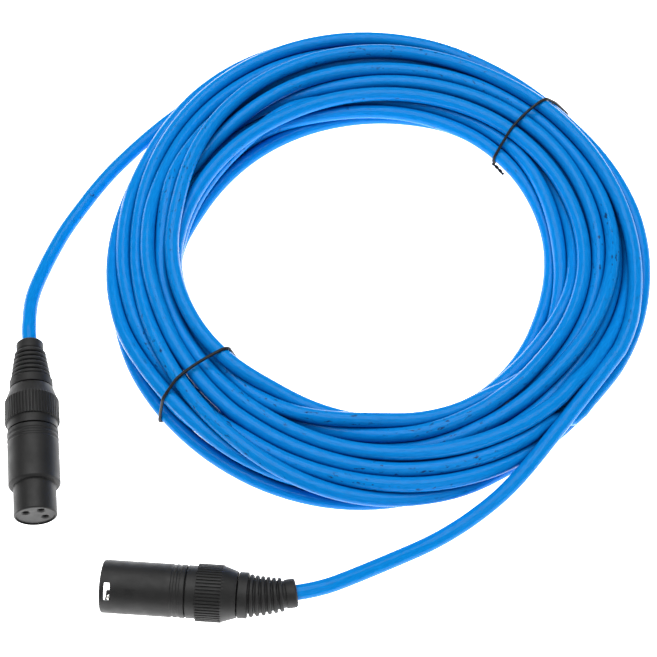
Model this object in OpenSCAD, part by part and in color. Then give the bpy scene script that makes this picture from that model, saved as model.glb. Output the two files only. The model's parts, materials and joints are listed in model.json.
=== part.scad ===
// Microphone cable in a flat round coil, with a female and a male three-pole connector.
// The origin is the coil's centre on the floor, and +Z is up.
// Each connector is drawn upright: z runs from its boot's end towards its mouth, and a
// clock angle is measured from x towards y. lay_down() then puts it on the floor.

/* [Cable] */
// Diameter of the cable's jacket
cable_d = 5.8; // [5.4:0.1:6]
// Diameter of one insulated core
core_d = 1.5; // [1.2:0.1:1.6]

/* [Coil] */
// Inner radius of the coil
coil_inner_r = 73; // [71:1:74]
// Outer radius of the coil
coil_outer_r = 110; // [109:1:112]
// Height of three layers of turns
coil_h = 15.8; // [15:0.1:17]
// Rounding of the coil's edges
coil_edge_r = 5; // [3:0.5:6]

/* [Ties] */
// Diameter of the tie wire
tie_d = 1.2; // [0.8:0.1:1.4]
// Radius of the tie's bends
tie_bend_r = 3; // [2:0.5:4]
// Angle of the lower left tie round the coil
left_tie_at = 221; // [215:1:230]
// Angle of the upper right tie round the coil
right_tie_at = 43; // [36:1:50]
// Length of each tie's twisted tail
tie_tail_l = 8; // [6:1:14]

/* [Boot] */
// Radius of the ring at the boot's end
boot_end_r = 5.25; // [5.2:0.05:5.6]
// Length of the ring at the boot's end
boot_end_l = 4.3; // [3.8:0.1:4.5]
// Number of ribs
rib_count = 6; // [4:1:7]
// Radius of the smallest rib
rib_small_r = 6.1; // [5.8:0.1:6.4]
// Radius of the largest rib
rib_large_r = 7.65; // [7.4:0.05:8]
// Radius of the boot's flange
flange_r = 8.25; // [8:0.05:8.6]
// Bend of the male boot, where its cable turns away
male_boot_bend = 15; // [5:1:18]

/* [Collar] */
// Radius over the knurl
knurl_r = 10.3; // [10:0.05:10.4]
// Number of knurl ridges
knurl_count = 52; // [36:1:60]
// Depth of the knurl's grooves
knurl_depth = 0.45; // [0.2:0.05:0.5]
// Radius of the smooth band in front of the knurl
band_r = 9.45; // [9.2:0.05:9.7]

/* [Female connector] */
// Radius of the female barrel
female_barrel_r = 9.65; // [9.4:0.05:9.9]
// Radius of the nose that enters a male connector
nose_r = 7.95; // [7.9:0.05:8]
// Length of the nose
nose_l = 12; // [11:0.5:13]
// Radius of the bore in a socket contact
socket_r = 1.25; // [1.22:0.01:1.28]

/* [Male connector] */
// Radius of the male shell
male_shell_r = 9.5; // [9.3:0.05:9.7]
// Radius of the male mouth
mouth_r = 8.2; // [8.15:0.05:8.3]
// Radius of a contact pin
pin_r = 1.2; // [1.18:0.01:1.22]
// Width of the latch window
window_w = 6.4; // [5:0.1:7]
// Length of the latch window
window_l = 2.3; // [2:0.1:3]

/* [Hidden] */
$fn = 64;

// Overlap that keeps a cut clear of the face it opens
cut = 0.1;
cable_r = cable_d / 2;
tie_r = tie_d / 2;

// Stations along both connectors, counted from the boot's end
rib_from = 4.9;
flange_from = 17.4;
flange_to = 20.7;
collar_from = 21.2;
knurl_from = 26.5;
knurl_to = 35.5;
collar_to = 39;
shell_from = 39.5;
neck_from = 30.5;
chuck_from = 24.4;
chuck_to = 36;
insert_from = 44.2;
contact_from = 42;
contact_body_from = 45.5;

// Screw neck of the shell and the thread bore of the collar that turns on it
neck_r = 8;
neck_bore_r = 7;
thread_bore_r = neck_r + 0.05;
chuck_r = neck_bore_r - 0.1;

// Boot: the spigot and lip that snap into the collar, and the stretch that can bend
spigot_r = 4.6;
lip_r = 5.5;
lip_from = 23;
lip_to = 23.7;
boot_flex_l = 18;
straight_play = 0.2;
bent_play = 1.4;
rib_pitch = (flange_from - rib_from) / rib_count;
rib_l = rib_pitch * 0.72;
rib_core_depth = 1.25;
rib_round = 0.4;

// Contacts sit on a circle of 8.08 mm, pin 3 opposite the key
contact_circle_r = 4.04;
contact_body_r = 1.85;
contact_play = 0.1;
cup_r = 1.5;
cup_bore_r = 0.95;
cup_depth = 2.8;

// Female connector
female_key_at = -127;
barrel_to = 62.2;
nose_to = barrel_to + nose_l;
female_face = nose_to - 0.6;
female_bore_r = 7.15;
female_insert_r = 7.1;
socket_to = female_face - 2.1;
socket_depth = 14.6;
latch_w = 4;
latch_slot_w = 4.6;
latch_slot_from = 48.6;
latch_slot_to = barrel_to + 6;
tooth_at = barrel_to + 2.8;
latch_pivot_r = 5.6;
latch_pivot_z = 51;
latch_pin_r = 0.6;
latch_pin_l = 6.8;
latch_under_r = 5.2;
latch_over_r = 6.4;
latch_spring_z = 62;
latch_spring_r = 1;
spring_wire_r = 0.15;
spring_pocket_r = 1.35;
spring_floor_r = 0.5;

// Male connector
male_key_at = 56;
male_to = 69.6;
male_insert_to = 52.5;
male_pin_to = 68;
window_to = male_to - 1.6;
notch_l = 1.8;
dimple_r = 1.45;
dimple_z = 59;
dimple_depth = 0.25;

// Where the connectors lie: the boot's end on the floor plan, and the mouth's heading
axis_h = 10.5;
female_at = [-134, -42.6];
female_heading = -83;
male_at = [-28.9, -148.3];
male_heading = 176;

function heading_dir(heading) = [cos(heading), sin(heading), 0];
function heading_side(heading) = [-sin(heading), cos(heading), 0];

// Point in the room of a place z along a connector's axis, and x to its side
function laid_point(at, heading, z, x = 0) =
    [at.x, at.y, axis_h] + z * heading_dir(heading) + x * heading_side(heading);

// Centreline of a bent boot, where z is the place it would have if it were straight
function bend_angle(z, bend) = z > boot_flex_l ? 0 : bend * (boot_flex_l - z) / boot_flex_l;
function bend_radius(bend) = boot_flex_l / (bend * PI / 180);
function bend_x(z, bend) = bend_angle(z, bend) == 0 ? 0
    : -bend_radius(bend) * (1 - cos(bend_angle(z, bend)));
function bend_z(z, bend) = bend_angle(z, bend) == 0 ? z
    : boot_flex_l - bend_radius(bend) * sin(bend_angle(z, bend));

// Routes of the two free stretches, from the stripped end in the connector to the coil
female_route = concat(
    [for (z = [chuck_to, boot_flex_l, 0, -8]) laid_point(female_at, female_heading, z)],
    [[-135.5, -20, 7.6], [-132.5, -4, 4.8], [-126.5, 14, 3.3], [-119, 29, cable_r],
     [-110, 44.5, cable_r], [-100.5, 58.5, cable_r], [-91.5, 69.5, cable_r],
     [-77.5, 80.5, cable_r]]);
male_route = concat(
    [for (z = [chuck_to, boot_flex_l, boot_flex_l / 2, 0])
        laid_point(male_at, male_heading, bend_z(z, male_boot_bend), bend_x(z, male_boot_bend))],
    [[-21, -144.2, 10.2], [-13, -141, 9], [4.5, -132, 5.6], [20.5, -123.5, 3.3],
     [33, -116, 4], [44, -109, 7.5], [53, -101.5, 11.3], [61, -93.5, 12.9],
     [68, -85.5, 12.9]]);

function unit(v) = v / norm(v);
function tangent(path, i) = unit(path[min(i + 1, len(path) - 1)] - path[max(i - 1, 0)]);
function ring(path, i, r, sides, up) =
    let (along = tangent(path, i), side = unit(cross(along, up)), over = cross(side, along))
    [for (k = [0:sides - 1])
        path[i] + r * (cos(360 * k / sides) * side + sin(360 * k / sides) * over)];

// Tube along a path; up is any direction that the path never follows
module tube(path, r, sides, up = [0, 0, 1]) {
    last = (len(path) - 1) * sides;
    polyhedron(
        [for (i = [0:len(path) - 1]) each ring(path, i, r, sides, up)],
        concat(
            [for (i = [0:len(path) - 2], k = [0:sides - 1])
                let (a = i * sides, b = (k + 1) % sides) each [
                    [a + k, a + b, a + sides + b], [a + k, a + sides + b, a + sides + k]]],
            [[for (k = [sides - 1:-1:0]) k]],
            [[for (k = [0:sides - 1]) last + k]]));
}

// Puts an upright connector part where its connector lies
module lay_down(at, heading) {
    translate([at.x, at.y, axis_h]) rotate([0, 0, heading]) rotate([90, 0, 90]) children();
}
module lay_female() { lay_down(female_at, female_heading) children(); }
module lay_male() { lay_down(male_at, male_heading) children(); }

module disc(from, to, r, r_to = undef) {
    translate([0, 0, from]) cylinder(h = to - from, r1 = r, r2 = is_undef(r_to) ? r : r_to);
}

/* Cable and ties */

module tie_loop(r) {
    inner = coil_inner_r - 0.2 - tie_r + tie_bend_r;
    outer = coil_outer_r + 0.2 + tie_r - tie_bend_r;
    bottom = 0.05 + tie_r + tie_bend_r;
    top = coil_h + 0.2 + tie_r - tie_bend_r;
    for (corner = [[outer, top, 0], [inner, top, 90], [inner, bottom, 180], [outer, bottom, 270]])
        translate([corner.x, 0, corner.y]) rotate([90, 0, 0]) rotate([0, 0, corner.z])
            rotate_extrude(angle = 90) translate([tie_bend_r, 0]) circle(r = r);
    for (z = [bottom - tie_bend_r, top + tie_bend_r])
        translate([inner, 0, z]) rotate([0, 90, 0]) cylinder(h = outer - inner, r = r);
    for (x = [inner - tie_bend_r, outer + tie_bend_r])
        translate([x, 0, bottom]) cylinder(h = top - bottom, r = r);
}

// Tie with its twisted tail lying on the floor inside the coil, to one side of the tie
module tie(at, tail_turn) {
    rotate([0, 0, at]) {
        tie_loop(tie_r);
        translate([coil_inner_r - 0.2 - tie_d, 0, tie_d + 0.05]) rotate([tail_turn, 0, 0])
            cylinder(h = tie_tail_l, r = tie_d * 0.9);
    }
}

module cable_coil() {
    color("dodgerblue") difference() {
        rotate_extrude($fn = 128)
            translate([coil_inner_r + coil_edge_r, 0])
                coil_section(coil_outer_r - coil_inner_r - 2 * coil_edge_r);
        for (at = [left_tie_at, right_tie_at])
            rotate([0, 0, at]) translate([coil_inner_r - 1, -tie_r - 0.15, -cut])
                cube([coil_outer_r - coil_inner_r + 2, tie_d + 0.3, tie_d + 0.2 + cut]);
    }
}

// Section of the bundle of turns: a rectangle with round corners
module coil_section(flat_w) {
    for (x = [0, flat_w], z = [coil_edge_r, coil_h - coil_edge_r]) translate([x, z]) circle(r = coil_edge_r);
    square([flat_w, coil_h]);
    translate([-coil_edge_r, coil_edge_r]) square([flat_w + 2 * coil_edge_r, coil_h - 2 * coil_edge_r]);
}

module female_lead() { color("dodgerblue") tube(female_route, cable_r, 10); }
module male_lead() { color("dodgerblue") tube(male_route, cable_r, 10); }
module left_tie() { color("black") tie(left_tie_at, -90); }
module right_tie() { color("black") tie(right_tie_at, 90); }

/* Parts that both connectors have */

// Places its children at a boot's straight station z, along the bent centreline
module along_boot(z, bend) {
    translate([bend_x(z, bend), 0, bend_z(z, bend)]) rotate([0, bend_angle(z, bend), 0]) children();
}

module boot(bend, play) {
    end_round = 0.6;
    difference() {
        union() {
            along_boot(boot_end_l / 2, bend) {
                disc(-boot_end_l / 2 + end_round, boot_end_l / 2 - end_round, boot_end_r);
                disc(-boot_end_l / 2, -boot_end_l / 2 + end_round, boot_end_r - end_round, boot_end_r);
                disc(boot_end_l / 2 - end_round, boot_end_l / 2, boot_end_r, boot_end_r - end_round);
            }
            for (i = [0:rib_count - 1]) {
                r = rib_small_r + (rib_large_r - rib_small_r) * i / (rib_count - 1);
                along_boot(rib_from + i * rib_pitch + rib_l / 2, bend) {
                    disc(-rib_l / 2 + rib_round, rib_l / 2 - rib_round, r);
                    disc(-rib_l / 2, -rib_l / 2 + rib_round, r - rib_round, r);
                    disc(rib_l / 2 - rib_round, rib_l / 2, r, r - rib_round);
                    disc(-rib_l / 2 - rib_pitch * 0.6, rib_pitch, r - rib_core_depth);
                }
            }
            disc(flange_from, flange_to, flange_r);
            disc(flange_to - 1, lip_from + 0.1, spigot_r);
            disc(lip_from, lip_to, lip_r);
        }
        disc(boot_flex_l - 1, lip_to + cut, cable_r + straight_play);
        translate([0, 0, boot_flex_l]) rotate([0, bend / 2, 0])
            disc(-boot_flex_l - 2, 0.1, cable_r + play);
    }
}

module knurl() {
    tooth = 360 / knurl_count;
    valley_r = knurl_r - knurl_depth;
    translate([0, 0, knurl_from]) linear_extrude(knurl_to - knurl_from)
        polygon([for (i = [0:knurl_count - 1])
            each [for (p = [[-0.3, knurl_r], [0.2, knurl_r], [0.35, valley_r], [0.55, valley_r]])
                p.y * [cos((i + p.x) * tooth), sin((i + p.x) * tooth)]]]);
}

module collar() {
    color([0.1, 0.1, 0.11]) difference() {
        union() {
            disc(collar_from, knurl_from, 8.3, knurl_r - 0.2);
            knurl();
            disc(knurl_to - 1, collar_to, band_r);
        }
        disc(collar_from - cut, lip_from, spigot_r + 0.2);
        disc(lip_from - 0.2, chuck_from - 0.2, lip_r + 0.45);
        disc(chuck_from - 0.3, neck_from - 1, lip_r + 0.45, neck_r - 0.7);
        disc(neck_from - 1.1, collar_to + cut, thread_bore_r);
    }
}

module chuck() {
    slit_w = 0.8;
    color([0.85, 0.85, 0.8]) difference() {
        union() {
            disc(chuck_from, neck_from - 0.5, 5.2, 6.6);
            disc(neck_from - 0.6, chuck_to, chuck_r);
        }
        disc(chuck_from - cut, chuck_to + cut, cable_r + 0.05);
        for (turn = [0, 90]) rotate([0, 0, turn]) translate([-chuck_r, -slit_w / 2, chuck_from - cut])
            cube([2 * chuck_r, slit_w, neck_from - chuck_from - 1]);
    }
}

// Core from the stripped jacket to the solder cup at a clock angle
module wire(at) {
    path = [[1.4, 0, chuck_to + 0.1], [1.5, 0, chuck_to + 1.5], [3, 0, chuck_to + 3.5],
        [contact_circle_r, 0, contact_from - 0.5], [contact_circle_r, 0, contact_from + cup_depth - 0.3]];
    rotate([0, 0, at]) tube(path, core_d / 2, 8, [0, 1, 0]);
}

// Rear end of a contact: the solder cup
module solder_cup() {
    difference() {
        disc(contact_from, contact_body_from + 0.1, cup_r);
        disc(contact_from - cut, contact_from + cup_depth, cup_bore_r);
    }
}

module contact_holes(key_at, from, to, r) {
    for (step = [90, 180, 270]) rotate([0, 0, key_at + step])
        translate([contact_circle_r, 0, 0]) disc(from - cut, to + cut, r);
}

// Outline of a shell's rear: the screw neck, the step and two shallow grooves
function shell_rear(r) = let (groove = 0.25) [
    [0, neck_from], [neck_r - 0.4, neck_from], [neck_r, neck_from + 0.4], [neck_r, shell_from],
    [r - 0.3, shell_from], [r, shell_from + 0.3],
    [r, shell_from + 1.8], [r - groove, shell_from + 2], [r - groove, shell_from + 2.8],
    [r, shell_from + 3], [r, shell_from + 3.9], [r - groove, shell_from + 4.1],
    [r - groove, shell_from + 4.9], [r, shell_from + 5.1]];

/* Female connector */

module female_shell() {
    bevel = 0.9;
    color([0.1, 0.1, 0.11]) lay_female() difference() {
        rotate_extrude() polygon(concat(shell_rear(female_barrel_r), [
            [female_barrel_r, barrel_to - bevel], [female_barrel_r - bevel * 0.8, barrel_to],
            [nose_r, barrel_to], [nose_r, nose_to - 0.4], [nose_r - 0.4, nose_to], [0, nose_to]]));
        disc(neck_from - cut, insert_from, neck_bore_r);
        disc(insert_from - 0.2, nose_to + cut, female_bore_r);
        rotate([0, 0, female_key_at]) translate([latch_under_r, -latch_slot_w / 2, latch_slot_from])
            cube([female_barrel_r, latch_slot_w, latch_slot_to - latch_slot_from]);
    }
}

module female_insert() {
    slot_floor_r = 3.5;
    chamfer = 0.45;
    color([0.12, 0.12, 0.12]) lay_female() difference() {
        disc(insert_from, female_face, female_insert_r);
        contact_holes(female_key_at, insert_from, socket_to - cut, contact_body_r + contact_play);
        contact_holes(female_key_at, socket_to - 2 * cut, female_face, socket_r);
        for (step = [90, 180, 270]) rotate([0, 0, female_key_at + step])
            translate([contact_circle_r, 0, 0])
                disc(female_face - chamfer, female_face + 0.01, socket_r, socket_r + chamfer);
        rotate([0, 0, female_key_at]) {
            translate([slot_floor_r, -latch_slot_w / 2, latch_slot_from])
                cube([female_insert_r, latch_slot_w, latch_slot_to - latch_slot_from]);
            translate([spring_floor_r, 0, latch_spring_z]) rotate([0, 90, 0])
                cylinder(h = slot_floor_r, r = spring_pocket_r);
            translate([latch_pivot_r, 0, latch_pivot_z]) rotate([90, 0, 0])
                cylinder(h = latch_pin_l + 1, r = latch_pin_r + 0.01, center = true);
        }
    }
}

module female_socket(step) {
    color("silver") lay_female() rotate([0, 0, female_key_at + step])
        translate([contact_circle_r, 0, 0]) {
            solder_cup();
            difference() {
                disc(contact_body_from, socket_to - 0.3, contact_body_r);
                disc(socket_to - socket_depth, socket_to, socket_r);
            }
        }
}

module female_latch() {
    button_r = 10.4;
    tooth_r = 8.9;
    color([0.75, 0.75, 0.76]) lay_female() rotate([0, 0, female_key_at]) difference() {
        union() {
            rotate([90, 0, 0]) linear_extrude(latch_w, center = true) polygon([
                [latch_under_r, latch_pivot_z], [latch_under_r, tooth_at + 2.4],
                [latch_over_r, tooth_at + 2.4], [tooth_r, tooth_at + 0.6],
                [tooth_r, tooth_at - 0.6], [latch_over_r, tooth_at - 0.6],
                [latch_over_r, 61.5], [button_r - 0.3, 61.5],
                [button_r, 61.2], [button_r, 54.8], [button_r - 0.3, 54.5], [latch_over_r, 54.5],
                [latch_over_r, latch_pivot_z]]);
            translate([latch_pivot_r, 0, latch_pivot_z]) rotate([90, 0, 0])
                cylinder(h = latch_w, r = 1.2, center = true);
        }
        translate([latch_pivot_r, 0, latch_pivot_z]) rotate([90, 0, 0])
            cylinder(h = latch_w + 1, r = latch_pin_r + 0.05, center = true);
    }
}

module female_latch_pin() {
    color("silver") lay_female() rotate([0, 0, female_key_at])
        translate([latch_pivot_r, 0, latch_pivot_z]) rotate([90, 0, 0])
            cylinder(h = latch_pin_l, r = latch_pin_r, center = true);
}

module female_latch_spring() {
    turns = 6;
    steps = 12;
    bottom = spring_floor_r + spring_wire_r + 0.02;
    rise = latch_under_r - spring_wire_r - 0.05 - bottom;
    color("silver") lay_female() rotate([0, 0, female_key_at])
        translate([0, 0, latch_spring_z]) rotate([0, 90, 0])
            tube([for (i = [0:turns * steps])
                [latch_spring_r * cos(i * 360 / steps), latch_spring_r * sin(i * 360 / steps),
                    bottom + rise * i / (turns * steps)]], spring_wire_r, 6);
}

/* Male connector */

module male_shell() {
    rim = 0.45;
    color([0.1, 0.1, 0.11]) lay_male() difference() {
        rotate_extrude() polygon(concat(shell_rear(male_shell_r), [
            [male_shell_r, male_to - rim], [male_shell_r - rim, male_to], [0, male_to]]));
        disc(neck_from - cut, insert_from, neck_bore_r);
        disc(insert_from - 0.2, male_to + cut, mouth_r);
        rotate([0, 0, male_key_at]) {
            translate([mouth_r - 1, -window_w / 2, window_to - window_l])
                cube([male_shell_r, window_w, window_l]);
            translate([male_shell_r - dimple_depth, 0, dimple_z]) rotate([0, 90, 0])
                cylinder(h = 1, r = dimple_r);
        }
        rotate([0, 0, male_key_at + 180]) translate([mouth_r - 1, -window_w / 2, male_to - notch_l])
            cube([male_shell_r, window_w, male_shell_r]);
    }
}

module male_insert() {
    color([0.12, 0.12, 0.12]) lay_male() difference() {
        disc(insert_from, male_insert_to, mouth_r - 0.05);
        contact_holes(male_key_at, insert_from, male_insert_to, contact_body_r + contact_play);
    }
}

module male_pin(step) {
    tip_l = 0.8;
    color("silver") lay_male() rotate([0, 0, male_key_at + step])
        translate([contact_circle_r, 0, 0]) {
            solder_cup();
            disc(contact_body_from, male_insert_to - 0.2, contact_body_r);
            disc(male_insert_to - 0.3, male_pin_to - tip_l, pin_r);
            disc(male_pin_to - tip_l, male_pin_to, pin_r, pin_r / 2);
        }
}

module female_collar() { lay_female() collar(); }
module male_collar() { lay_male() collar(); }
module female_chuck() { lay_female() chuck(); }
module male_chuck() { lay_male() chuck(); }
module female_boot() { color([0.12, 0.12, 0.12]) lay_female() boot(0, straight_play); }
module male_boot() { color([0.12, 0.12, 0.12]) lay_male() boot(male_boot_bend, bent_play); }

// Seen from the front, pin 1 is before the key and pin 2 behind it on a female connector
module female_shield_wire() { color("gold") lay_female() wire(female_key_at + 270); }
module female_hot_wire() { color("red") lay_female() wire(female_key_at + 90); }
module female_cold_wire() { color("white") lay_female() wire(female_key_at + 180); }
module male_shield_wire() { color("gold") lay_male() wire(male_key_at + 90); }
module male_hot_wire() { color("red") lay_male() wire(male_key_at + 270); }
module male_cold_wire() { color("white") lay_male() wire(male_key_at + 180); }

cable_coil();
female_lead();
male_lead();
left_tie();
right_tie();
female_shell();
female_insert();
female_socket(270);  // female_socket_1
female_socket(90);  // female_socket_2
female_socket(180);  // female_socket_3
female_latch();
female_latch_pin();
female_latch_spring();
female_chuck();
female_collar();
female_boot();
female_shield_wire();
female_hot_wire();
female_cold_wire();
male_shell();
male_insert();
male_pin(90);  // male_pin_1
male_pin(270);  // male_pin_2
male_pin(180);  // male_pin_3
male_chuck();
male_collar();
male_boot();
male_shield_wire();
male_hot_wire();
male_cold_wire();
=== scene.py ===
"""XLR microphone cable wound into a flat coil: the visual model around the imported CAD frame.

Lengths in the sections for the shared places, the cord, the ties and the latch spring are in
millimetres, as in part.scad. They are turned into metres where a mesh is made. Angles in the
tables and the named values are in degrees.
"""
import json
import math

import bmesh
import bpy
import numpy as np
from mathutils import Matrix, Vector


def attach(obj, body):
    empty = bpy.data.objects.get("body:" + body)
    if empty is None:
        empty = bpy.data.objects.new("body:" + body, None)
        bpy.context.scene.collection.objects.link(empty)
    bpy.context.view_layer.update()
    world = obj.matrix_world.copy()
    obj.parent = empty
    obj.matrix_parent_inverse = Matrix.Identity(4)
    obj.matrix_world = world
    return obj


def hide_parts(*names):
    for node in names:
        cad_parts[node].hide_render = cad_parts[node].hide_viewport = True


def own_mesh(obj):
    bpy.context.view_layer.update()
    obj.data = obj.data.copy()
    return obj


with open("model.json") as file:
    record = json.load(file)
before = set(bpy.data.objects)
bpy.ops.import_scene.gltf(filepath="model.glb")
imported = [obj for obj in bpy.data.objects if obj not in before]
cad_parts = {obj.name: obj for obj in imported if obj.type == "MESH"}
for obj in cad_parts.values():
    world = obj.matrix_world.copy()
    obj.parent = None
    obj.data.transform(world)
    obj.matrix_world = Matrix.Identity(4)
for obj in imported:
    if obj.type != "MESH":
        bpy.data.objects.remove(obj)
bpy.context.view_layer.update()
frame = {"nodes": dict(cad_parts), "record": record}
MM = 0.001


def add(name, data):
    """New object with this data, linked to the scene."""
    thing = bpy.data.objects.new(name, data)
    bpy.context.scene.collection.objects.link(thing)
    return thing


def aim(thing, at, to):
    """Puts a camera or a light at one place and turns it towards another."""
    thing.location = at
    thing.rotation_euler = (Vector(to) - Vector(at)).to_track_quat("-Z", "Y").to_euler()


# Camera -------------------------------------------------------------------------------

CAMERA_AT = (-0.0175, -0.3689, 0.5649)
CAMERA_TO = (-0.0175, -0.0295, 0.0)

camera_data = bpy.data.cameras.new("camera")
camera_data.sensor_width = 36
camera_data.lens = 90.4
camera_data.clip_start = 0.01
camera = add("camera", camera_data)
aim(camera, CAMERA_AT, CAMERA_TO)
bpy.context.scene.camera = camera

# Places shared with part.scad ---------------------------------------------------------

CABLE_D = 5.8
AXIS_H = 10.5
FEMALE_AT, FEMALE_HEADING = (-134, -42.6), -83
MALE_AT, MALE_HEADING = (-28.9, -148.3), 176
BOOT_FLEX = 18
MALE_BEND = 15


def laid(at, heading, x, y, z):
    """Point in the room of a connector's upright point (x, y, z)."""
    c, s = math.cos(math.radians(heading)), math.sin(math.radians(heading))
    return (at[0] + z * c - x * s, at[1] + z * s + x * c, AXIS_H + y)


def bent(x, y, z, bend):
    """Upright point moved with the bent end of a boot."""
    if z >= BOOT_FLEX or not bend:
        return (x, y, z)
    angle = math.radians(bend * (BOOT_FLEX - z) / BOOT_FLEX)
    radius = BOOT_FLEX / math.radians(bend)
    middle_x = -radius * (1 - math.cos(angle))
    middle_z = BOOT_FLEX - radius * math.sin(angle)
    return (middle_x + x * math.cos(angle), y, middle_z - x * math.sin(angle))


# Cord: plan of the turns --------------------------------------------------------------

STEP = 5
SPOKE = 30
FIRST_ANGLE = -60
TIE_ANGLES = (222.2, 42.3)
FLOOR_MM = CABLE_D / 2

# Turns from the top one, that the male lead joins, to the one that the female lead leaves.
# Each has its distances from the centre and its heights at 12 spokes, SPOKE degrees apart.
# FIRST_POINTS are the first places, STEP degrees apart, that stay where they are.
FIRST_SPOKE = (113, 12.3)
FIRST_POINTS = ((113, 12.6), (109.6, 13.8), (107, 14.8), (105.4, 15.4), (104.6, 15.8))
TURNS = [
    ((104, 105, 104, 104, 105, 97, 88, 81, 78, 74, 75, 73),
     (13, 13, 13, 13, 14, 16, 17, 16, 13, 10, 7, 4)),
    ((78, 80, 83, 84, 83, 81, 82, 83, 82, 80, 83, 83),
     (8, 8, 8, 8, 8, 8, 8, 8, 8, 9, 12, 13)),
    ((84, 85, 85, 83, 79, 77, 77, 78, 78, 79, 78, 77),
     (13, 13, 13, 13, 13, 13, 12, 11, 9, 10, 12, 9)),
    ((79, 78, 77, 74, 71, 71, 72, 76, 78, 79, 81, 84),
     (4, 3, 3, 3, 3, 3, 3, 3, 3, 3, 5, 8)),
    ((88, 92, 92, 90, 86, 86, 88, 91, 89, 86, 86, 90),
     (11, 13, 13, 13, 13, 9, 8, 8, 8, 8, 10, 13)),
    ((94, 99, 98, 97, 93, 86, 83, 86, 88, 91, 92, 94),
     (13, 13, 13, 13, 13, 14, 13, 9, 8, 8, 8, 8)),
    ((95, 97, 99, 102, 99, 93, 86, 82, 82, 86, 92, 97),
     (8, 8, 8, 10, 13, 14, 14, 13, 12, 13, 13, 13)),
    ((100, 102, 104, 106, 107, 102, 94, 87, 87, 92, 99, 104),
     (12, 8, 8, 8, 10, 13, 14, 13, 13, 13, 13, 13)),
    ((108.5, 109, 106, 109, 112.5, 109.5, 99, 92, 93, 99, 108, 107),
     (8, 8, 8, 8, 12, 14, 14, 13, 13, 15, 9, 3)),
    ((102, 105, 104, 107, 112, 113.5, 105, 97, 97, 98, 103, 106),
     (3, 3, 3, 4, 8, 10, 11, 12, 10, 8, 8, 8)),
    ((98, 93, 93, 96, 101, 105, 104, 103, 100, 101, 103, 100),
     (6, 3, 3, 3, 3, 3, 6, 9, 13, 12, 7, 4)),
    ((95, 92, 92, 94, 96, 97, 97, 99, 104, 106, 107, 101),
     (5, 7, 7, 6, 4, 3, 3, 3, 3, 3, 3, 3)),
    ((92, 86, 87, 89, 92, 93, 92, 93, 98, 103, 101, 95),
     (3, 3, 3, 3, 3, 3, 3, 3, 4, 6, 4, 3)),
    ((89, 87, 88, 89, 90, 90, 92, 97, 101, 103, 97, 89),
     (5, 8, 8, 8, 8, 8, 8, 6, 7, 10, 5, 3)),
    ((77, 76, 79, 80, 77, 75, 75, 77, 76, 76, 76, 76),
     (5, 7, 8, 8, 8, 8, 8, 7, 5, 3, 3, 3)),
    ((71, 71, 74, 75, 73, 74, 75, 78, 81, 84, 88, 91),
     (3, 3, 4, 6, 8, 8, 8, 5, 3, 3, 3, 3)),
    ((95, 99, 99, 102, 106, 109.5, 115),
     (3, 3, 3, 3, 3, 3, 3)),
]

# The edges that the bundle shows to the camera, every EDGE_STEP degrees from angle 0 on, given
# at the height of the top layer
EDGE_STEP = 20
INNER_EDGE = (68.5, 68, 68, 67.5, 64.5, 63, 63.5, 65.5, 69.5, 76, 75.5, 73.5, 71.5, 72,
              75.5, 76.5, 73, 70)
OUTER_EDGE = (112, 109.5, 107.5, 109.5, 113.2, 115.4, 114.4, 108.5, 105, 106.5, 109, 111.7,
              114.5, 116.5, 115.5, 112, 110, 112.4)
TOP_LAYER = 13
# Sideways shift of a strand for each millimetre of height: as TURNS was planned, and as the
# camera sees it from over the coil. The last value is how much wider a strand looks where it
# runs across the line of sight.
LEAN = 0.601
SEEN_SHIFT, SEEN_X, SEEN_Y = 0.00178, 17.5, 368.9
STRETCH = 0.167

# How the turns settle: rounds, with less weight in the last ones; pull to the plan; sinking for
# each round; smoothing; and the part of an overlap that two strands push each other away
ROUNDS, LATE_ROUNDS = 600, 60
PULL = 0.05
WEIGHT, LATE_SHARE = 0.03, 0.3
SMOOTH, SMOOTH_PASSES = 0.6, 2
PUSH, PUSH_PASSES = 0.42, 5
# Steps at the last end that keep their place, and steps at both ends without walls
HELD_LAST = 3
NO_WALL_FIRST, NO_WALL_LAST = 10, 16
# Room for a tie under the bundle, and how far from the tie's angle it reaches
TIE_LIFT, TIE_REACH = 1.3, 5


def catmull(t, values):
    """Smooth curve through values at whole numbers, read at every t."""
    low = np.clip(t.astype(int), 0, len(values) - 2)
    f = (t - low)[:, None] if values.ndim > 1 else t - low
    a, b, c, d = (values[np.clip(low + k, 0, len(values) - 1)] for k in (-1, 0, 1, 2))
    return 0.5 * (2 * b + (c - a) * f + (2 * a - 5 * b + 4 * c - d) * f * f
                  + (3 * b - a - 3 * c + d) * f ** 3)


def planned():
    """Angles, and the distance and the height that the plan gives at each."""
    plan = [FIRST_SPOKE] + [spoke for turn in TURNS for spoke in zip(*turn)]
    plan = np.array(plan, float)
    angle = np.arange(0, SPOKE * (len(plan) - 1) + 0.1, STEP)
    at = catmull(angle / SPOKE, plan)
    at[:len(FIRST_POINTS)] = FIRST_POINTS
    at[:, 1] = np.maximum(at[:, 1], FLOOR_MM)
    return angle + FIRST_ANGLE, at


def walls(angle, sine):
    """Inner and outer limit of the middle of a strand in the top layer, at each angle."""
    half = CABLE_D / 2 * (1 + STRETCH * sine ** 2)
    edge = angle % 360 / EDGE_STEP
    inner = catmull(edge, np.array(INNER_EDGE + INNER_EDGE[:2], float)) + half
    outer = catmull(edge, np.array(OUTER_EDGE + OUTER_EDGE[:2], float)) - half
    return inner, outer


def ground(angle):
    """Lowest height of a strand's middle at each angle, with room for the ties under it."""
    lowest = np.full(len(angle), FLOOR_MM)
    for tie_angle in TIE_ANGLES:
        off = (angle - tie_angle + 180) % 360 - 180
        lowest += TIE_LIFT * np.exp(-(off / TIE_REACH) ** 2)
    return lowest


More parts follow.
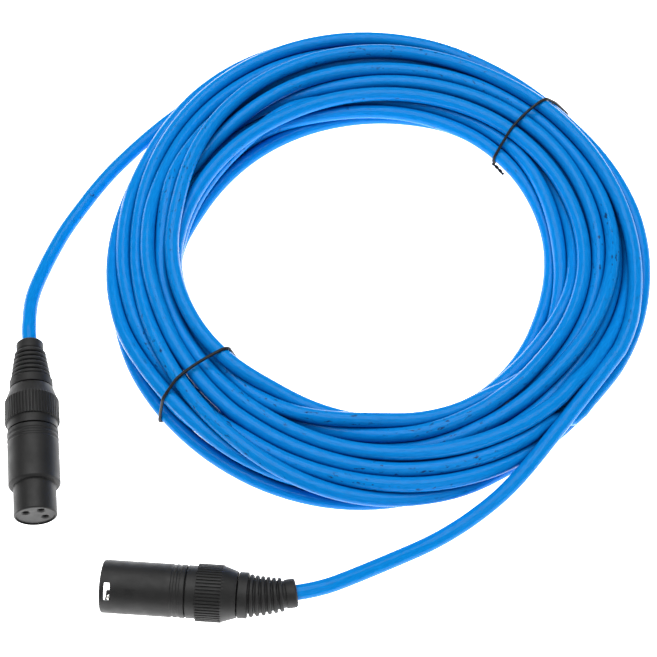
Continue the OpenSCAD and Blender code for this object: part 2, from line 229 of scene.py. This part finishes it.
def settle():
    """Lets the planned turns settle: they push apart, sink on each other and stay smooth."""
    angle, at = planned()
    planned_z = at[:, 1].copy()
    sine = np.sin(np.radians(angle))
    seen_r = at[:, 0] - (TOP_LAYER - at[:, 1]) * LEAN * sine
    lean = SEEN_SHIFT * (seen_r + SEEN_X * np.cos(np.radians(angle)) + SEEN_Y * sine)
    inner, outer = walls(angle, sine)
    lowest = ground(angle)

    # One row for each turn; the last row is filled up with strands that are far from all others
    per_turn = 360 // STEP
    rows = -(-len(at) // per_turn)
    spare = rows * per_turn - len(at)
    filler = np.stack([1e4 + 1e3 * np.arange(spare), np.zeros(spare)], 1)
    same = np.arange(rows)

    free = np.ones((len(at), 1))
    free[:len(FIRST_POINTS)] = 0
    free[-HELD_LAST:] = 0
    walled = np.ones(len(at), bool)
    walled[:NO_WALL_FIRST] = False
    walled[-NO_WALL_LAST:] = False
    for i in range(ROUNDS):
        late = i >= ROUNDS - LATE_ROUNDS
        at[:, 1] -= WEIGHT * (LATE_SHARE if late else 1) * free[:, 0]
        wanted = np.stack([seen_r + (TOP_LAYER - at[:, 1]) * lean, planned_z], 1)
        at += free * (wanted - at) * (PULL, PULL / 2)
        for _ in range(SMOOTH_PASSES):
            at[1:-1] += free[1:-1] * SMOOTH / 2 * (at[:-2] + at[2:] - 2 * at[1:-1])
        for _ in range(PUSH_PASSES):
            stack = np.concatenate([at, filler]).reshape(rows, per_turn, 2)
            apart = stack[:, None] - stack[None]
            distance = np.sqrt((apart ** 2).sum(-1)) + 1e-9
            deep = np.clip(CABLE_D - distance, 0, None)
            deep[same, same] = 0
            push = PUSH * (deep / distance)[..., None] * apart
            at += free * push.sum(1).reshape(-1, 2)[:len(at)]
            at[:, 1] = np.maximum(at[:, 1], lowest)
            down = (TOP_LAYER - at[:, 1]) * lean
            held = np.clip(at[:, 0], inner + down, outer + down)
            at[:, 0] = np.where(walled, (at[:, 0] + held) / 2, at[:, 0])
    return angle, at


# Cord: path and mesh ------------------------------------------------------------------

angles, turns = settle()
fine = np.arange(0, len(turns) - 1 + 1e-6, 0.5)
fine_turns = catmull(fine, turns)
fine_angles = np.radians(angles[0] + fine * STEP)
coil_points = np.stack([fine_turns[:, 0] * np.cos(fine_angles),
                        fine_turns[:, 0] * np.sin(fine_angles), fine_turns[:, 1]], 1)

# From inside each connector to the coil
female_lead = [laid(FEMALE_AT, FEMALE_HEADING, 0, 0, z) for z in (28, 18, 0, -8)] + [
    (-135.5, -20, 7.6), (-132.5, -4, 4.8), (-126.5, 14, 3.3), (-119, 29, 2.9),
    (-110, 44.5, 2.9)]
male_lead = [laid(MALE_AT, MALE_HEADING, *bent(0, 0, z, MALE_BEND)) for z in (28, 18, 9, 0)] + [
    (-21, -144.2, 10.2), (-13, -141, 9), (4.5, -132, 5.6), (20.5, -123.5, 3.3),
    (33, -116, 4), (44, -109, 7.5), (51.5, -102.8, 11)]

# Space between the points of a lead's path, and the fine steps that it is measured by
LEAD_SPACING = 2.0
FINE_STEP = 0.02
# Rounds of smoothing where a lead meets the coil, and the points to each side that it moves
JOIN_ROUNDS = 12
JOIN_POINTS = 14


def dense(points, joined):
    """Lead's given points, and the first of the coil's points, as a smooth dense path."""
    knots = np.array([*points, *joined], float)
    t = np.arange(0, len(knots) - 1, FINE_STEP)
    line = catmull(t, knots)
    line = line[t <= len(points)]
    run = np.concatenate([[0], np.cumsum(np.linalg.norm(np.diff(line, axis=0), axis=1))])
    places = np.linspace(0, run[-1], max(2, int(run[-1] / LEAD_SPACING)))[:-1]
    return np.stack([np.interp(places, run, line[:, k]) for k in range(3)], 1)


male_path = dense(male_lead, coil_points[[0, 3]])
female_path = dense(female_lead, coil_points[[-1, -4]])
cord_path = np.concatenate([female_path, coil_points[::-1], male_path[::-1]])
numbers = np.arange(len(cord_path))
joins = [len(female_path), len(female_path) + len(coil_points)]
near_join = np.min([np.abs(numbers - join) for join in joins], 0) < JOIN_POINTS
for _ in range(JOIN_ROUNDS):
    middle = (cord_path[:-2] + cord_path[2:]) / 2
    cord_path[1:-1] = np.where(near_join[1:-1, None], middle, cord_path[1:-1])


def tube(name, points, radius, sides=16, closed=False):
    """Mesh tube along points, with a UV map: along the tube in metres, and round it."""
    points = np.asarray(points, float) * MM
    count = len(points)
    if closed:
        along = np.roll(points, -1, 0) - np.roll(points, 1, 0)
    else:
        along = np.gradient(points, axis=0)
    along /= np.linalg.norm(along, axis=1)[:, None]
    side = np.zeros_like(along)
    side[0] = np.cross(along[0], (0, 0, 1))
    if np.linalg.norm(side[0]) < 0.1:
        side[0] = np.cross(along[0], (0, 1, 0))
    for i in range(1, count):
        side[i] = side[i - 1] - along[i] * side[i - 1].dot(along[i])
        side[i] /= np.linalg.norm(side[i])
    side[0] /= np.linalg.norm(side[0])
    over = np.cross(side, along)
    turn = np.radians(np.arange(sides) * 360 / sides)
    ring = (np.cos(turn)[None, :, None] * side[:, None]
            + np.sin(turn)[None, :, None] * over[:, None])
    spots = (points[:, None] + radius * MM * ring).reshape(-1, 3)
    run = np.concatenate([[0], np.cumsum(np.linalg.norm(np.diff(points, axis=0), axis=1))])
    mesh = bmesh.new()
    verts = [mesh.verts.new(p) for p in spots]
    uv = mesh.loops.layers.uv.new("along")
    for i in range(count if closed else count - 1):
        j = (i + 1) % count
        near = run[i]
        far = run[i + 1] if i + 1 < count else run[i] + MM
        for k in range(sides):
            m = (k + 1) % sides
            face = mesh.faces.new([verts[i * sides + k], verts[i * sides + m],
                                   verts[j * sides + m], verts[j * sides + k]])
            face.smooth = True
            for loop, u, v in zip(face.loops, (near, near, far, far), (k, k + 1, k + 1, k)):
                loop[uv].uv = (u, v / sides)
    if not closed:
        mesh.faces.new([verts[k] for k in range(sides - 1, -1, -1)])
        mesh.faces.new([verts[(count - 1) * sides + k] for k in range(sides)])
    bmesh.ops.recalc_face_normals(mesh, faces=mesh.faces)
    data = bpy.data.meshes.new(name)
    mesh.to_mesh(data)
    mesh.free()
    return add(name, data)


cord = tube("microphone_cable", cord_path, CABLE_D / 2)
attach(cord, "root")
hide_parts("cable_coil", "female_lead", "male_lead")

# Ties ---------------------------------------------------------------------------------

TIE_R = 0.6
TIE_POINTS = 140
# The two tails: length, and how far before the spoke they start; height, and how far they sink;
# distance from the loop's inner end, and how far they drift on inwards; and how they twist
TAIL_L, TAIL_BEFORE = 7.0, 0.5
TAIL_HEIGHT, TAIL_DROP = 4.7, 0.7
TAIL_INSET, TAIL_DRIFT = 0.25, 0.6
TAIL_TWISTS, TAIL_TWIST_R = 1.5, TIE_R * 0.6
TAIL_R = TIE_R * 0.65
TAIL_POINTS = 40


def turns_left(a, b, c):
    """Whether the way from a over b to c turns left."""
    return (b[0] - a[0]) * (c[1] - a[1]) - (b[1] - a[1]) * (c[0] - a[0]) > 0


def hull(points):
    """Outline of the smallest convex shape round flat points."""
    points = sorted(map(tuple, points))
    sides = []
    for ordered in (points, points[::-1]):
        chain = []
        for p in ordered:
            while len(chain) > 1 and not turns_left(chain[-2], chain[-1], p):
                chain.pop()
            chain.append(p)
        sides += chain[:-1]
    return np.array(sides)


def crossing(angle):
    """Middles of all strands where they cross a spoke, as distance and height."""
    found = []
    degrees = np.degrees(fine_angles)
    for turn in range(-1, len(TURNS) + 1):
        at = angle + 360 * turn
        if degrees[0] <= at <= degrees[-1]:
            found.append([np.interp(at, degrees, fine_turns[:, k]) for k in (0, 1)])
    return found


def tie_path(angle, bulge, slant):
    """Closed loop drawn tight round the strands at a spoke, and the same as distance and height.

    The loop leans off the spoke by slant degrees at each side and by bulge degrees midway.
    """
    reach = CABLE_D / 2 + TIE_R
    round_by = [(math.cos(a), math.sin(a)) for a in np.radians(np.arange(0, 360, 10))]
    rim = hull([(r + reach * c, z + reach * s) for r, z in crossing(angle) for c, s in round_by])
    run = np.concatenate([rim, rim[:1]])
    length = np.concatenate([[0], np.cumsum(np.linalg.norm(np.diff(run, axis=0), axis=1))])
    places = np.linspace(0, length[-1], TIE_POINTS + 1)[:-1]
    loop = np.stack([np.interp(places, length, run[:, k]) for k in (0, 1)], 1)
    loop[:, 1] = np.maximum(loop[:, 1], TIE_R)
    low, high = loop[:, 0].min(), loop[:, 0].max()
    across = 2 * (loop[:, 0] - low) / (high - low) - 1
    turned = np.radians(angle + slant * across + bulge * np.cos(math.pi / 2 * across))
    path = np.stack([loop[:, 0] * np.cos(turned), loop[:, 0] * np.sin(turned), loop[:, 1]], 1)
    return path, loop


def tie(name, angle, node, tail_turn, bulge, slant):
    """Wire loop in the place of a CAD tie, with two tails twisted together on the inner side."""
    path, loop = tie_path(angle, bulge, slant)
    loop_piece = tube(name, path, TIE_R, 10, closed=True)
    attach(loop_piece, "root")
    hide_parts(node)
    inner = loop[:, 0].min() + TAIL_INSET
    spoke = math.radians(angle - slant)
    out = np.array([math.cos(spoke), math.sin(spoke), 0])
    along = tail_turn * np.array([-math.sin(spoke), math.cos(spoke), 0])
    up = np.array([0, 0, 1.0])
    pieces = [loop_piece]
    for k in (0, 1):
        points = []
        for i in range(TAIL_POINTS):
            t = i / (TAIL_POINTS - 1)
            a = math.pi * k + 2 * math.pi * TAIL_TWISTS * t
            points.append(out * (inner - TAIL_DRIFT * t * t)
                          + along * (TAIL_L * t - TAIL_BEFORE)
                          + up * (TAIL_HEIGHT - TAIL_DROP * t)
                          + TAIL_TWIST_R * (math.cos(a) * out + math.sin(a) * up))
        end = tube(f"{name}_tail_{k + 1}", points, TAIL_R, 8)
        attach(end, "root")
        pieces.append(end)
    return pieces


tie_pieces = tie("left_wire_tie", TIE_ANGLES[0], "left_tie", 1, -1.7, -0.7)
tie_pieces += tie("right_wire_tie", TIE_ANGLES[1], "right_tie", -1, 2.2, -0.9)

# Latch spring -------------------------------------------------------------------------

KEY_AT = -127
SPRING_AT, SPRING_R, SPRING_WIRE_R = 62, 1, 0.15
SPRING_TURNS, SPRING_STEPS = 6, 24
SPRING_FROM, SPRING_TO = 0.67, 5


def spring_place(height, side, along):
    """Point of the latch spring: height out from the axis at the key, to its side, and along."""
    c, s = math.cos(math.radians(KEY_AT)), math.sin(math.radians(KEY_AT))
    return np.array(laid(FEMALE_AT, FEMALE_HEADING, height * c - side * s, height * s + side * c,
                         SPRING_AT + along))


spring_points = []
spring_last = SPRING_TURNS * SPRING_STEPS
for i in range(spring_last + 1):
    a = 2 * math.pi * i / SPRING_STEPS
    height = SPRING_FROM + (SPRING_TO - SPRING_FROM) * i / spring_last
    spring_points.append(spring_place(height, SPRING_R * math.sin(a), -SPRING_R * math.cos(a)))
spring = tube("latch_spring_wire", spring_points, SPRING_WIRE_R, 8)
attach(spring, "root")
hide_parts("female_latch_spring")
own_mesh(spring)

# Materials ----------------------------------------------------------------------------

# Sockets of a mix node that is set to colours
MIX_A, MIX_B, MIX_RESULT = 6, 7, 2


class Look:
    """A material in the making: its nodes, its shader and the object's own coordinates."""

    def __init__(self, name, metallic=0.0, specular=0.5):
        self.material = bpy.data.materials.new(name)
        self.material.use_nodes = True
        self.nodes = self.material.node_tree.nodes
        self.links = self.material.node_tree.links
        self.shader = self.nodes["Principled BSDF"]
        self.shader.inputs["Metallic"].default_value = metallic
        self.shader.inputs["Specular IOR Level"].default_value = specular
        self.place = self.nodes.new("ShaderNodeTexCoord").outputs["Object"]

    def feed(self, value, name):
        """Links a value to the shader's input of that name."""
        self.links.new(value, self.shader.inputs[name])

    def noise(self, place, scale, detail=3.0, stretch=None):
        """Noise at a place, whose coordinates may be stretched first."""
        if stretch:
            mapping = self.nodes.new("ShaderNodeMapping")
            mapping.inputs["Scale"].default_value = stretch
            self.links.new(place, mapping.inputs["Vector"])
            place = mapping.outputs["Vector"]
        texture = self.nodes.new("ShaderNodeTexNoise")
        texture.inputs["Scale"].default_value = scale
        texture.inputs["Detail"].default_value = detail
        self.links.new(place, texture.inputs["Vector"])
        return texture.outputs["Fac"]

    def ramp(self, value, stops):
        """Colours at rising values; a plain number stands for a grey."""
        band = self.nodes.new("ShaderNodeValToRGB")
        while len(band.color_ramp.elements) < len(stops):
            band.color_ramp.elements.new(0.5)
        for element, (at, colour) in zip(band.color_ramp.elements, stops):
            element.position = at
            rgb = (colour, colour, colour) if isinstance(colour, (int, float)) else colour
            element.color = (*rgb, 1)
        self.links.new(value, band.inputs["Fac"])
        return band.outputs["Color"]

    def product(self, a, b):
        """Two values multiplied."""
        node = self.nodes.new("ShaderNodeMath")
        node.operation = "MULTIPLY"
        self.links.new(a, node.inputs[0])
        self.links.new(b, node.inputs[1])
        return node.outputs[0]

    def mix(self, amount, a, b):
        """Colour between a and b, each a socket or a plain colour."""
        node = self.nodes.new("ShaderNodeMix")
        node.data_type = "RGBA"
        self.links.new(amount, node.inputs["Factor"])
        for socket, value in ((node.inputs[MIX_A], a), (node.inputs[MIX_B], b)):
            if isinstance(value, tuple):
                socket.default_value = (*value, 1)
            else:
                self.links.new(value, socket)
        return node.outputs[MIX_RESULT]

    def bump(self, height, strength, distance):
        """Fine relief on the surface, from a height."""
        node = self.nodes.new("ShaderNodeBump")
        node.inputs["Strength"].default_value = strength
        node.inputs["Distance"].default_value = distance
        self.links.new(height, node.inputs["Height"])
        self.feed(node.outputs["Normal"], "Normal")


# Scales of the jacket's noises along the cable, round it, and 1: the grain, and the dark rubbed
# marks, which show only in some places
GRAIN_SCALE = (260, 26, 1)
MARK_SCALE = (330, 13, 1)
MARK_PLACES_SCALE = (15, 1.6, 1)
# How near another strand darkens the jacket with painted shade, in metres, and the two colours
# that it changes
PAINTED_SHADE_REACH = 0.005
PAINTED_SHADE_BLUE = (0.0005, 0.075, 0.33)
MARK_BLUE = (0.008, 0.05, 0.15)
GRAIN_BLUES = [(0.3, (0.001, 0.185, 0.57)), (0.7, (0.003, 0.235, 0.68))]


def jacket_material():
    """Glossy blue PVC with a fine grain along the cable, dark rubbed marks here and there, and
    painted shade where another strand lies close.
    """
    look = Look("cable_jacket", specular=0.1)
    along = look.nodes.new("ShaderNodeUVMap")
    along.uv_map = "along"
    uv = along.outputs["UV"]
    grain = look.noise(uv, 1, 3, GRAIN_SCALE)
    tone = look.ramp(grain, GRAIN_BLUES)
    mark = look.ramp(look.noise(uv, 1, 4, MARK_SCALE), [(0.59, 0), (0.68, 1)])
    marked = look.ramp(look.noise(uv, 1, 2, MARK_PLACES_SCALE), [(0.53, 0), (0.62, 1)])
    colour = look.mix(look.product(mark, marked), tone, MARK_BLUE)
    # Painted shade: ambient occlusion turns the jacket a deep blue where another strand lies
    # close
    painted_shade_ao = look.nodes.new("ShaderNodeAmbientOcclusion")
    painted_shade_ao.samples = 8
    painted_shade_ao.inputs["Distance"].default_value = PAINTED_SHADE_REACH
    unshaded_share = look.ramp(painted_shade_ao.outputs["AO"], [(0.12, 0), (0.66, 1)])
    look.feed(look.mix(unshaded_share, PAINTED_SHADE_BLUE, colour), "Base Color")
    look.feed(look.ramp(look.noise(look.place, 300), [(0.3, 0.07), (0.7, 0.13)]), "Roughness")
    look.bump(grain, 0.35, 0.00004)
    return look.material


def black_material(name, dark, light, rough, grain, strength):
    """Matt black plastic or rubber: its darkest and lightest grey, roughness and grain."""
    look = Look(name, specular=0.3)
    look.feed(look.ramp(look.noise(look.place, 120, 5), [(0.3, dark), (0.72, light)]),
              "Base Color")
    look.feed(look.ramp(look.noise(look.place, 260, 4),
                        [(0.3, rough - 0.05), (0.7, rough + 0.08)]), "Roughness")
    look.bump(look.noise(look.place, grain, 3), strength, 0.00008)
    return look.material


def metal_material(name, colour, rough):
    """Metal with duller spots and fine lines in its gloss."""
    look = Look(name, metallic=1.0)
    duller = tuple(c * 0.72 for c in colour)
    look.feed(look.ramp(look.noise(look.place, 500, 5), [(0.35, duller), (0.6, colour)]),
              "Base Color")
    look.feed(look.ramp(look.noise(look.place, 900, 3, (1, 1, 0.1)),
                        [(0.3, rough), (0.7, rough + 0.15)]), "Roughness")
    return look.material


def plastic_material(name, colour, rough):
    """Smooth coloured plastic."""
    look = Look(name)
    duller = tuple(c * 0.85 for c in colour)
    look.feed(look.ramp(look.noise(look.place, 200, 4), [(0.3, duller), (0.7, colour)]),
              "Base Color")
    look.shader.inputs["Roughness"].default_value = rough
    look.bump(look.noise(look.place, 1800, 2), 0.15, 0.00005)
    return look.material


FINISHES = {
    "cable_blue": jacket_material(),
    "tie_black": black_material("tie_coating", 0.006, 0.012, 0.5, 2500, 0.2),
    "shell_black": black_material("shell_plastic", 0.009, 0.014, 0.5, 3000, 0.25),
    "collar_black": black_material("collar_plastic", 0.009, 0.014, 0.48, 3000, 0.25),
    "boot_black": black_material("boot_rubber", 0.010, 0.015, 0.55, 2200, 0.3),
    "insert_black": black_material("insert_plastic", 0.042, 0.06, 0.6, 2600, 0.25),
    "contact_silver": metal_material("contact_plating", (0.78, 0.77, 0.73), 0.2),
    "latch_metal": metal_material("latch_steel", (0.05, 0.05, 0.055), 0.4),
    "chuck_white": plastic_material("chuck_plastic", (0.72, 0.72, 0.68), 0.5),
    "core_red": plastic_material("core_red_pvc", (0.55, 0.03, 0.02), 0.35),
    "core_white": plastic_material("core_white_pvc", (0.78, 0.78, 0.76), 0.35),
    "core_copper": metal_material("braid_copper", (0.75, 0.42, 0.24), 0.3),
}


def paint(piece, slot):
    """Gives a piece the finish of a material slot, and no other."""
    piece.data.materials.clear()
    piece.data.materials.append(FINISHES[slot])


# Widths, in millimetres, of the rounded edges on the nodes whose names end so
EDGE_WIDTHS = {"shell": 0.12, "collar": 0.06, "boot": 0.15, "insert": 0.06, "latch": 0.08}
EDGE_ANGLE = 28
WELD_REACH = 2e-6


def soften(node, width):
    """Joins the CAD mesh's split vertices and rounds its edges, as modifiers on the node."""
    weld = node.modifiers.new("weld", "WELD")
    weld.merge_threshold = WELD_REACH
    bevel = node.modifiers.new("bevel", "BEVEL")
    bevel.width = width
    bevel.segments = 2
    bevel.limit_method = "ANGLE"
    bevel.angle_limit = math.radians(EDGE_ANGLE)
    bevel.harden_normals = False
    node.modifiers.new("normals", "WEIGHTED_NORMAL")


for row in frame["record"]["subparts"]:
    node = frame["nodes"][row["node"]]
    paint(node, row["material_slot"])
    kind = row["node"].split("_")[-1]
    if kind in EDGE_WIDTHS:
        soften(node, EDGE_WIDTHS[kind] * MM)
paint(cord, "cable_blue")
paint(spring, "contact_silver")
for piece in tie_pieces:
    paint(piece, "tie_black")

# Floor and light ----------------------------------------------------------------------

FLOOR_HALF = 4
FLOOR_GLOW = 2.2
WORLD_GLOW = 0.2
WHITE = (1, 1, 1, 1)

floor_mesh = bpy.data.meshes.new("floor")
floor_shape = bmesh.new()
bmesh.ops.create_grid(floor_shape, x_segments=1, y_segments=1, size=FLOOR_HALF)
floor_shape.to_mesh(floor_mesh)
floor_shape.free()
floor = add("floor", floor_mesh)
paper = Look("floor_paper", specular=0.1)
paper.feed(paper.ramp(paper.noise(paper.place, 3), [(0.0, 0.90), (1.0, 0.92)]), "Base Color")
paper.shader.inputs["Roughness"].default_value = 0.9
paper.shader.inputs["Emission Color"].default_value = WHITE
paper.shader.inputs["Emission Strength"].default_value = FLOOR_GLOW
floor_mesh.materials.append(paper.material)


def area_light(name, at, to, size, power):
    """Round soft light that shines from one place towards another."""
    data = bpy.data.lights.new(name, "AREA")
    data.shape = "DISK"
    data.size = size
    data.energy = power
    aim(add(name, data), at, to)


area_light("overhead_light", (-0.1, 0.2, 1.3), (0, 0, 0), size=1.6, power=22)
area_light("front_light", (0.4, -1.1, 0.9), (0, 0, 0), size=1.0, power=2)
world = bpy.data.worlds.new("studio")
world.use_nodes = True
world.node_tree.nodes["Background"].inputs["Color"].default_value = WHITE
world.node_tree.nodes["Background"].inputs["Strength"].default_value = WORLD_GLOW
bpy.context.scene.world = world
bpy.context.scene.view_settings.view_transform = "Standard"

bpy.context.view_layer.update()
